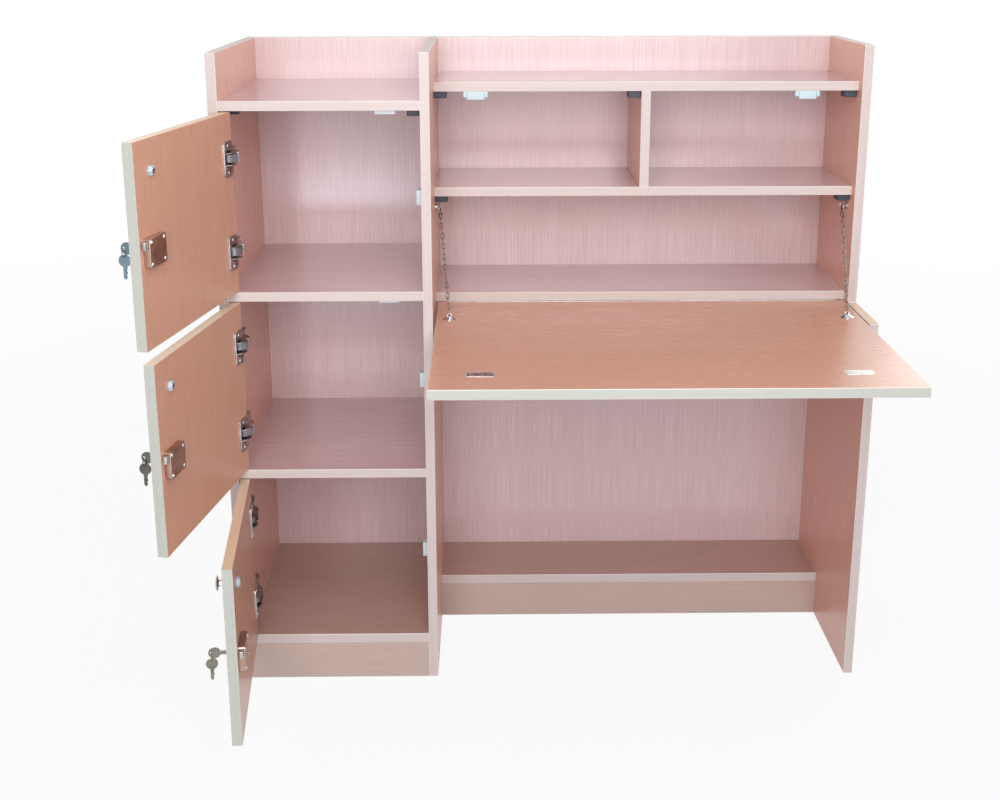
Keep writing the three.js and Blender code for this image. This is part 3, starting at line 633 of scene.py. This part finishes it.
def prism(name, outline, axis, low, high, mat, width=PLATE_BEVEL, segments=2):
    """A closed prism over an outline, along one axis, with soft edges."""
    bm = bmesh.new()
    rings = []
    for h in (low, high):
        ring = []
        for a, b in outline:
            p = {X: (h, a, b), Y: (a, h, b), Z: (a, b, h)}[axis]
            ring.append(bm.verts.new(p))
        rings.append(ring)
    bm.faces.new(rings[0])
    bm.faces.new(list(reversed(rings[1])))
    count = len(outline)
    for i in range(count):
        j = (i + 1) % count
        bm.faces.new((rings[0][i], rings[1][i], rings[1][j], rings[0][j]))
    bmesh.ops.recalc_face_normals(bm, faces=bm.faces)
    obj = to_object(bm, name)
    obj.data.materials.append(mat)
    if width:
        bevel(obj, width, segments, angle=35)
    smooth(obj)
    return obj


def rectangle(a0, a1, b0, b1):
    return [(a0, b0), (a1, b0), (a1, b1), (a0, b1)]


def rounded(centre_a, centre_b, width, height, radius, steps=CORNER_STEPS):
    """A rectangle with round corners; the centre is in metres, the sizes are in millimetres."""
    points = []
    for quarter, (sa, sb) in enumerate(((1, 1), (-1, 1), (-1, -1), (1, -1))):
        for i in range(steps + 1):
            angle = (quarter + i / steps) * math.pi / 2
            a = centre_a + mm(sa * (width / 2 - radius) + radius * math.cos(angle))
            b = centre_b + mm(sb * (height / 2 - radius) + radius * math.sin(angle))
            points.append((a, b))
    return points


def cut_out(obj, cutter):
    """Takes the cutter out of the piece before its bevels."""
    mod = obj.modifiers.new("cut", "BOOLEAN")
    mod.object = cutter
    mod.operation = "DIFFERENCE"
    mod.solver = "EXACT"
    bpy.context.view_layer.update()
    with bpy.context.temp_override(object=obj, active_object=obj, selected_objects=[obj]):
        bpy.ops.object.modifier_move_to_index(modifier=mod.name, index=0)
        bpy.ops.object.modifier_apply(modifier=mod.name)
    bpy.data.objects.remove(cutter)


def lathe(name, profile, place, mat, sides, lobes=None):
    """Turned piece about local Z, from pairs of radius and height; lobes shapes the outline into a star."""
    bm = bmesh.new()
    rings = []
    for radius, height in profile:
        if radius == 0:
            rings.append([bm.verts.new((0, 0, height))])
            continue
        ring = []
        for i in range(sides):
            angle = 2 * math.pi * i / sides
            reach = radius * (lobes(angle) if lobes else 1)
            ring.append(bm.verts.new((reach * math.cos(angle), reach * math.sin(angle), height)))
        rings.append(ring)
    for a, b in zip(rings, rings[1:]):
        for i in range(sides):
            j = (i + 1) % sides
            if len(a) == 1:
                bm.faces.new((a[0], b[i], b[j]))
            elif len(b) == 1:
                bm.faces.new((a[i], b[0], a[j]))
            else:
                bm.faces.new((a[i], b[i], b[j], a[j]))
    bmesh.ops.recalc_face_normals(bm, faces=bm.faces)
    obj = to_object(bm, name, place)
    obj.data.materials.append(mat)
    smooth(obj, angle=50)
    return obj


def facing(point, direction, roll=0.0):
    """Matrix that puts local Z along the direction at the point."""
    turn = direction.to_track_quat("Z", "Y").to_matrix().to_4x4()
    return Matrix.Translation(point) @ turn @ Matrix.Rotation(roll, 4, "Z")


def cross_groove(obj, place, size, depth):
    """Cuts a cross recess into a screw head."""
    bar = size * CROSS_WIDTH_SHARE
    for width, height in ((size, bar), (bar, size)):
        bm = bmesh.new()
        bmesh.ops.create_cube(bm, size=1)
        bmesh.ops.scale(bm, vec=(width, height, depth * 2), verts=bm.verts)
        cut_out(obj, to_object(bm, "cut", place))


def screw(name, point, direction, radius, body, roll=SCREW_ROLL, flatness=1.0):
    """Round screw head with a cross recess."""
    place = facing(point, direction, roll)
    r = mm(radius)
    h = r * flatness
    profile = [(a * r, b * h) for a, b in SCREW_HEAD_SHARES]
    obj = lathe(name, profile, place, M_NICKEL, SCREW_SIDES)
    groove_place = place @ Matrix.Translation((0, 0, h * CROSS_PLACE_SHARE))
    cross_groove(obj, groove_place, r * CROSS_SIZE_SHARE, h * CROSS_DEPTH_SHARE)
    fasten(obj, body)


# Carcass and flap
def dress_boards():
    for name in ("left_side_panel", "middle_panel"):
        board(name, X, Z, M_SIDE, M_EDGE)
    on_step = lambda centre, normal: normal.z > FACING_SHARE and centre.z < mm(STEP_LIMIT)
    board("right_side_panel", X, Z, M_SIDE, M_EDGE, special=(on_step, M_DOOR_TOP))
    for name in ("locker_back_panel", "desk_back_panel"):
        board(name, Y, Z, M_BACK, M_EDGE)
    for name in ("locker_top_shelf", "locker_upper_shelf", "locker_lower_shelf",
                 "hutch_top_shelf", "hutch_middle_shelf", "desk_shelf"):
        board(name, Z, X, M_SHELF, M_EDGE)
    # The lowest shelves take the darker shelf copy: painted shade.
    for name in ("locker_bottom_shelf", "foot_shelf"):
        board(name, Z, X, M_SHELF_SHADED, M_EDGE)
    for name in ("locker_kick_board", "foot_rail"):
        board(name, Y, X, M_KICK, M_EDGE, arris=False)
    board("hutch_divider", X, Z, M_SIDE, M_EDGE)
    board("drop_flap", Z, X, M_FLAP, M_DOOR_EDGE)


# Doors
def hinge_plate(n, end, z, here):
    """The pressed rim round a hinge cup, with a painted highlight at its sides and ends."""
    centre = at(CUP_X, CUP_MOUTH_Y, z)
    flange = rounded(at(RIM_X, 0, 0).x, mm(z), RIM_WIDTH, RIM_HEIGHT, RIM_CORNER, RIM_STEPS)
    back, face = at(0, RIM_BACK, 0).y, at(0, RIM_FACE, 0).y
    plate = prism(f"hinge_plate_{n}_{end}", flange, Y, back, face, M_NICKEL)
    radius = mm(CUP_MOUTH_RADIUS)
    reach = mm(BORE_REACH)
    bore = [(0, -reach), (radius, -reach), (radius, reach), (0, reach)]
    cut_out(plate, lathe("cut", bore, facing(centre, BACKWARD), M_NICKEL, CUP_SIDES))
    plate.data.materials.append(M_RIM_HIGHLIGHT)
    for poly in plate.data.polygons:
        side = abs(poly.normal.y) < ALONG_SHARE and abs(poly.center.x - centre.x) > radius
        if side or abs(poly.center.z - centre.z) > mm(RIM_END):
            poly.material_index = 1
    plate.data.transform(here)
    fasten(plate, f"door_{n}_leaf")


def hinge_link(n, end, z, here):
    """The link that folds out of a hinge cup."""
    outline = [tuple(at(x, y, 0).xy) for x, y in LINK_OUTLINE]
    low, high = mm(z - LINK_HALF_WIDTH), mm(z + LINK_HALF_WIDTH)
    link = prism(f"hinge_link_{n}_{end}", outline, Z, low, high, M_LINK, LINK_BEVEL, 3)
    link.data.transform(here)
    fasten(link, f"door_{n}_leaf")


def dress_hinge(n, end, z, here, outward):
    dress(f"door_{n}_hinge_cup_{end}", M_NICKEL)
    dress(f"door_{n}_hinge_arm_{end}", M_NICKEL)
    hinge_plate(n, end, z, here)
    hinge_link(n, end, z, here)
    for side in (-1, 1):
        cup_point = here @ at(CUP_X, RIM_FACE, z + side * CUP_SCREW_LIFT)
        wing_point = at(WING_FACE, WING_Y, z + side * WING_SCREW_LIFT)
        screw(f"cup_screw_{n}_{end}_{side}", cup_point, outward, CUP_SCREW_RADIUS, f"door_{n}_leaf")
        screw(f"wing_screw_{n}_{end}_{side}", wing_point, RIGHTWARD, WING_SCREW_RADIUS, "carcass")
    screw(f"arm_screw_{n}_{end}", at(ARM_FACE, ARM_SCREW_Y, z), RIGHTWARD, ARM_SCREW_RADIUS, "carcass")


def knob_nut(n, here):
    """White star nut on the stem of a knob."""
    place = here @ facing(at(KNOB_X, NUT_Y, door_top(n) - KNOB_FROM_TOP), BACKWARD)
    star = lambda angle: 1 + NUT_LOBE_SHARE * math.cos(NUT_LOBES * angle)
    nut = lathe(f"knob_nut_{n}", scaled(NUT_PROFILE), place, M_NUT, LOBED_SIDES, star)
    fasten(nut, f"door_{n}_leaf")


def case_screws(n, here, outward):
    z = door_top(n) - LOCK_FROM_TOP
    for sx in (-1, 1):
        for sz in (-1, 1):
            point = here @ at(LOCK_X + sx * CASE_SCREW_X, CASE_FACE, z + sz * CASE_SCREW_Z)
            roll = sx * CASE_SCREW_ROLL_STEP + sz
            screw(f"case_screw_{n}_{sx}_{sz}", point, outward, CASE_SCREW_RADIUS, f"door_{n}_leaf", roll)


def dress_door(n):
    here = door_matrix(n)
    outward = here.to_3x3() @ BACKWARD
    top = door_top(n)
    upper_edge = (lambda centre, normal: normal.z > FACING_SHARE, M_DOOR_TOP)
    back = here.inverted()
    board(f"door_{n}", Y, Z, M_DOOR, M_DOOR_EDGE, local=back, special=upper_edge)
    dress_hinge(n, "upper", top - HINGE_FROM_TOP, here, outward)
    dress_hinge(n, "lower", top - DOOR_HEIGHT + HINGE_FROM_BOTTOM, here, outward)
    dress(f"door_{n}_knob", M_CHROME, KNOB_BEVEL)
    dress(f"door_{n}_lock_case", M_CASE, CASE_BEVEL)
    dress(f"door_{n}_lock_bolt", M_NICKEL)
    dress(f"door_{n}_key", M_KEYS[n], THIN_BEVEL)
    dress(f"door_{n}_spare_key", M_KEYS[n], THIN_BEVEL)
    knob_nut(n, here)
    case_screws(n, here, outward)


# Hardware of the flap
def cut_catch(catch):
    """Cuts a thin tab at each end of a catch, and a groove where the tab meets the housing."""
    xs, ys, zs = zip(*(vertex.co for vertex in catch.data.vertices))
    over = mm(OVERCUT)
    front, low, high = min(ys) - over, min(zs) - over, max(zs)
    for end, inward in ((min(xs), 1), (max(xs), -1)):
        tab = end + inward * mm(TAB_LENGTH)
        groove = tab + inward * mm(GROOVE_WIDTH)
        under_tab = (end - inward * over, tab, min(ys) + mm(TAB_CUT_DEPTH), min(zs) + mm(TAB_CUT_HEIGHT))
        at_tab = (tab, groove, min(ys) + mm(GROOVE_DEPTH), high - mm(GROOVE_STOP))
        for a, b, back, top in (under_tab, at_tab):
            outline = rectangle(min(a, b), max(a, b), front, back)
            cut_out(catch, prism("cut", outline, Z, low, top, M_CATCH, 0))


def dress_flap_hardware():
    for leaf in ("shelf", "flap"):
        dress(f"flap_hinge_{leaf}_leaf", M_NICKEL, 0)
    for side in ("left", "right"):
        dress(f"wall_eye_{side}", M_NICKEL, THIN_BEVEL)
        dress(f"flap_eye_{side}", M_CHROME, THIN_BEVEL)
        cut_catch(dress(f"hutch_catch_{side}", M_CATCH, CASE_BEVEL))


# Chains: rounder links over the CAD runs
def link_centres(centre, run, sideways, straight):
    """Centre line of one oval link."""
    points = []
    radius = mm(LINK_END_RADIUS)
    for along, first in ((straight / 2, -math.pi / 2), (-straight / 2, math.pi / 2)):
        for i in range(LINK_STEPS + 1):
            angle = first + i / LINK_STEPS * math.pi
            end = run * (along + radius * math.cos(angle))
            points.append(centre + end + sideways * (radius * math.sin(angle)))
    return points


def add_wire(bm, points, normal):
    """Sweeps round wire along a closed flat line."""
    radius = mm(CHAIN_WIRE / 2)
    count = len(points)
    rings = []
    for k, point in enumerate(points):
        tangent = (points[(k + 1) % count] - points[k - 1]).normalized()
        out = tangent.cross(normal).normalized()
        ring = []
        for j in range(WIRE_SIDES):
            angle = 2 * math.pi * j / WIRE_SIDES
            offset = out * (radius * math.cos(angle)) + normal * (radius * math.sin(angle))
            ring.append(bm.verts.new(point + offset))
        rings.append(ring)
    for k in range(count):
        a, b = rings[k], rings[(k + 1) % count]
        for j in range(WIRE_SIDES):
            i = (j + 1) % WIRE_SIDES
            bm.faces.new((a[j], b[j], b[i], a[i]))


def chain(side, end, start, run, count, pitch):
    """One run of interlocked links, each turned a quarter from the one before."""
    straight = pitch - mm(2 * LINK_END_RADIUS - CHAIN_WIRE + LINK_BITE)
    across = (RIGHTWARD - run * run.x).normalized()
    upright = run.cross(across).normalized()
    bm = bmesh.new()
    for i in range(count):
        sideways = upright if i % 2 == 0 else across
        centre = start + run * (i * pitch + straight / 2)
        add_wire(bm, link_centres(centre, run, sideways, straight), run.cross(sideways).normalized())
    bmesh.ops.recalc_face_normals(bm, faces=bm.faces)
    obj = to_object(bm, f"chain_{side}_{end}_links")
    obj.data.materials.append(M_CHAIN)
    smooth(obj, angle=80)
    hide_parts(f"chain_{side}_{end}_run")
    fasten(obj, f"chain_{side}_{end}")


def make_chains():
    for side, wall, inward in (("left", HUTCH_LEFT, 1), ("right", HUTCH_RIGHT, -1)):
        wall_end = at(wall + inward * WALL_EYE_OFFSET, WALL_EYE_Y, WALL_EYE_Z)
        flap_end = at(wall + inward * FLAP_EYE_OFFSET, FLAP_EYE_Y, FLAP_EYE_Z)
        span = flap_end - wall_end
        run = span.normalized()
        reach = mm(2 * LINK_END_RADIUS - 3 * CHAIN_WIRE + 2 * LINK_BITE - LINK_SLACK)
        pitch = (span.length + reach) / (LINKS_UPPER + LINKS_LOWER)
        chain(side, "upper", wall_end, run, LINKS_UPPER, pitch)
        chain(side, "lower", flap_end, -run, LINKS_LOWER, pitch)


# Small parts that only show
def block_piece(name, low, high, mat, width=PLASTIC_BEVEL):
    """A box on the carcass, between two corners."""
    outline = rectangle(low.x, high.x, low.z, high.z)
    fasten(prism(name, outline, Y, low.y, high.y, mat, width), "carcass")


def corner_block(name, x, inward, y, underside):
    """Black plastic block in the corner of a board and a shelf, with its screw."""
    far = x + inward * BLOCK_WIDTH
    low = at(min(x, far), y, underside - BLOCK_HEIGHT)
    high = at(max(x, far), y + BLOCK_DEPTH, underside)
    block_piece(name, low, high, M_BLACK, BLOCK_BEVEL)
    point = at(x + inward * BLOCK_WIDTH / 2, y + BLOCK_DEPTH / 2, underside - BLOCK_HEIGHT)
    screw(name + "_screw", point, -UPWARD, BLOCK_SCREW_RADIUS, "carcass")


def corner_blocks():
    left, right = HUTCH_LEFT + CLEAR, HUTCH_RIGHT - CLEAR
    roof, middle, locker = HUTCH_ROOF - CLEAR, MIDDLE_SHELF_UNDERSIDE - CLEAR, LOCKER_ROOF - CLEAR
    corner_block("block_hutch_top_left", left, 1, HUTCH_BLOCK_Y, roof)
    corner_block("block_hutch_top_right", right, -1, HUTCH_BLOCK_Y, roof)
    corner_block("block_hutch_divider", DIVIDER_LEFT - CLEAR, -1, HUTCH_BLOCK_Y, roof)
    corner_block("block_hutch_mid_left", left, 1, MIDDLE_BLOCK_Y, middle)
    corner_block("block_hutch_mid_right", right, -1, MIDDLE_BLOCK_Y, middle)
    corner_block("block_locker_left", BOARD + CLEAR, 1, LEFT_BLOCK_Y, locker)
    corner_block("block_locker_right", MIDDLE_LEFT - CLEAR, -1, RIGHT_BLOCK_Y, locker)


def locker_catches():
    """Flat catches under the top shelves of the upper and the middle locker."""
    for i in range(2):
        top = LOCKER_ROOF - i * LOCKER_PITCH - CLEAR
        low = at(CATCH_X[0], CATCH_Y[0], top - CATCH_HEIGHT)
        high = at(CATCH_X[1], CATCH_Y[1], top)
        block_piece(f"locker_catch_{i}", low, high, M_WHITE)


def lock_keeper(n):
    """Plastic box with a slot for the lock bolt."""
    z = mm(door_top(n) - LOCK_FROM_TOP + BOLT_LIFT)
    outline = rounded(at(0, KEEPER_Y, 0).y, z, KEEPER_WIDTH, KEEPER_HEIGHT, KEEPER_CORNER)
    slot = rounded(at(0, BOLT_Y, 0).y, z, KEEPER_SLOT_WIDTH, KEEPER_SLOT_HEIGHT, KEEPER_SLOT_CORNER)
    face, seat = at(KEEPER_FACE, 0, 0).x, at(MIDDLE_LEFT - KEEPER_SEAT, 0, 0).x
    over = mm(OVERCUT)
    keeper = prism(f"strike_{n}", outline, X, face, seat, M_CATCH, PLASTIC_BEVEL, 3)
    cut_out(keeper, prism("cut", slot, X, face - over, seat + over, M_CATCH, 0))
    fasten(keeper, "carcass")


def flap_strike(side, x):
    """Nickel plate with a pressed rim carrying a painted highlight, and two flat screws."""
    outline = rounded(at(x, 0, 0).x, at(0, STRIKE_Y, 0).y, STRIKE_WIDTH, STRIKE_DEPTH, STRIKE_CORNER)
    low, high = mm(FLAP_TOP - STRIKE_SINK), mm(FLAP_TOP + STRIKE_RISE)
    plate = prism(f"flap_strike_{side}", outline, Z, low, high, M_NICKEL, STRIKE_BEVEL)
    plate.data.materials.append(M_RIM_HIGHLIGHT)
    bm = bmesh.new()
    bm.from_mesh(plate.data)
    top = [face for face in bm.faces if face.normal.z > 0.9]
    rim = bmesh.ops.inset_individual(bm, faces=top, thickness=mm(STRIKE_RIM))["faces"]
    for face in rim + [face for face in bm.faces if abs(face.normal.z) < ALONG_SHARE]:
        face.material_index = 1
    bm.to_mesh(plate.data)
    bm.free()
    fasten(plate, "flap")
    for s in (-1, 1):
        point = at(x + s * STRIKE_SCREW_X, STRIKE_Y, FLAP_TOP + STRIKE_SCREW_LIFT)
        name = f"flap_strike_screw_{side}_{s}"
        screw(name, point, UPWARD, STRIKE_SCREW_RADIUS, "flap", flatness=STRIKE_SCREW_FLATNESS)


def eye_rosette(side, x):
    """Petalled cover round the eye of a chain."""
    petals = lambda angle: 1 + ROSETTE_LOBE_SHARE * math.cos(ROSETTE_LOBES * angle)
    place = facing(at(x, FLAP_EYE_Y, FLAP_TOP + ROSETTE_SEAT), UPWARD)
    rosette = lathe(f"eye_rosette_{side}", scaled(ROSETTE_PROFILE), place, M_CHROME, LOBED_SIDES, petals)
    fasten(rosette, "flap")


# The hole is a thin dark disc on the front edge: painted shade, not a cut.
def panel_hole():
    place = facing(at(BOARD / 2, 0, HOLE_Z), -BACKWARD)
    hole = lathe("panel_hole", scaled(HOLE_PROFILE), place, M_HOLE_SHADE, HOLE_SIDES)
    fasten(hole, "carcass")


dress_boards()
for n in DOORS:
    dress_door(n)
dress_flap_hardware()
make_chains()
corner_blocks()
locker_catches()
for n in DOORS:
    lock_keeper(n)
for side, x in STRIKE_PLACES:
    flap_strike(side, x)
for side, x in (("left", HUTCH_LEFT + FLAP_EYE_OFFSET), ("right", HUTCH_RIGHT - FLAP_EYE_OFFSET)):
    eye_rosette(side, x)
panel_hole()

# Light
DAYLIGHT = (0.97, 0.98, 1.0)
COOL = (0.72, 0.84, 1.0)
WARM = (1.0, 0.98, 0.95)
DESK_MIDDLE = (620, 100, 650)
WORLD_COLOUR = (0.92, 0.94, 1.0, 1)
WORLD_STRENGTH = 0.41

# Name, place and aim in millimetres, width and height in metres, power in watts and colour of each lamp
LAMPS = (
    ("key", (600, -2800, 1700), DESK_MIDDLE, 2.2, 1.5, 59, DAYLIGHT),
    ("top", (800, -900, 2700), DESK_MIDDLE, 2.2, 1.0, 14, (1, 1, 1)),
    ("near", (700, -1300, 2000), (620, 200, 1000), 1.4, 0.8, 6, (1, 1, 1)),
    ("low_left", (-140, -2800, 140), (300, 0, 350), 0.7, 0.35, 7, COOL),
    ("low_right", (1165, -2800, 90), (800, 0, 800), 1.4, 0.2, 4, COOL),
    ("behind_left", (-1700, 2500, 2000), (300, 398, 650), 1.8, 1.4, 26, WARM),
    ("behind_right", (3000, 2500, 2000), (950, 398, 650), 1.8, 1.4, 26, WARM),
)


def add_lamp(name, place, aim, width, height, power, colour):
    data = bpy.data.lights.new(name, "AREA")
    data.shape = "RECTANGLE"
    data.size = width
    data.size_y = height
    data.energy = power
    data.color = colour
    obj = link_obj(name, data)
    obj.location = at(*place)
    obj.rotation_mode = "QUATERNION"
    obj.rotation_quaternion = (at(*aim) - at(*place)).to_track_quat("-Z", "Y")
    obj.visible_camera = False


def shown(tree):
    """One where the ray comes from the camera, a reflection or a see-through surface."""
    path = tree.nodes.new("ShaderNodeLightPath")
    seen = path.outputs["Is Camera Ray"]
    for ray in ("Is Glossy Ray", "Is Transmission Ray"):
        either = tree.nodes.new("ShaderNodeMath")
        either.operation = "MAXIMUM"
        tree.links.new(seen, either.inputs[0])
        tree.links.new(path.outputs[ray], either.inputs[1])
        seen = either.outputs["Value"]
    return seen


def mix_to_output(tree, share, first, second, output):
    mixer = tree.nodes.new("ShaderNodeMixShader")
    tree.links.new(share, mixer.inputs["Fac"])
    tree.links.new(first, mixer.inputs[1])
    tree.links.new(second, mixer.inputs[2])
    tree.links.new(mixer.outputs["Shader"], tree.nodes[output].inputs["Surface"])


def make_world():
    """A soft sky for the desk, and plain white where it is seen."""
    world = bpy.data.worlds.new("world")
    scene.world = world
    world.use_nodes = True
    tree = world.node_tree
    sky = tree.nodes["Background"]
    sky.inputs["Color"].default_value = WORLD_COLOUR
    sky.inputs["Strength"].default_value = WORLD_STRENGTH
    white = tree.nodes.new("ShaderNodeBackground")
    white.inputs["Color"].default_value = WHITE
    white.inputs["Strength"].default_value = 1.0
    share = shown(tree)
    mix_to_output(tree, share, sky.outputs["Background"], white.outputs["Background"], "World Output")


# Floor, in metres: its white glow grows from near the desk to far from it
FLOOR_REACH = 9
FLOOR_DROP = 0.0005
FLOOR_COLOUR = (0.6, 0.6, 0.62, 1)
GLOW_FROM = 1.6
GLOW_TO = 4.0
GLOW_SHARE_NEAR = 0.92


def make_floor():
    """Pale floor, nearly white to the eye, with the soft shadow of the desk on it."""
    bm = bmesh.new()
    bmesh.ops.create_grid(bm, x_segments=1, y_segments=1, size=FLOOR_REACH)
    floor = to_object(bm, "floor")
    floor.location = (0, 0, -FLOOR_DROP)
    m = Mat("pale_floor")
    floor.data.materials.append(m.material)
    m.set(Base_Color=FLOOR_COLOUR, Roughness=0.9, Specular_IOR_Level=0.0)
    distance = m.node("ShaderNodeVectorMath", operation="LENGTH")
    m.link(m.object_space(), distance.inputs[0])
    fade = m.node("ShaderNodeMapRange")
    for key, value in (("From Min", GLOW_FROM), ("From Max", GLOW_TO), ("To Min", GLOW_SHARE_NEAR)):
        fade.inputs[key].default_value = value
    m.link(distance.outputs["Value"], fade.inputs["Value"])
    share = m.node("ShaderNodeMath", operation="MULTIPLY")
    m.link(shown(m.tree), share.inputs[0])
    m.link(fade.outputs["Result"], share.inputs[1])
    glow = m.node("ShaderNodeEmission", Strength=1.0)
    glow.inputs["Color"].default_value = WHITE
    pale = m.shader.outputs["BSDF"]
    mix_to_output(m.tree, share.outputs["Value"], pale, glow.outputs["Emission"], "Material Output")


for lamp in LAMPS:
    add_lamp(*lamp)
make_world()
make_floor()
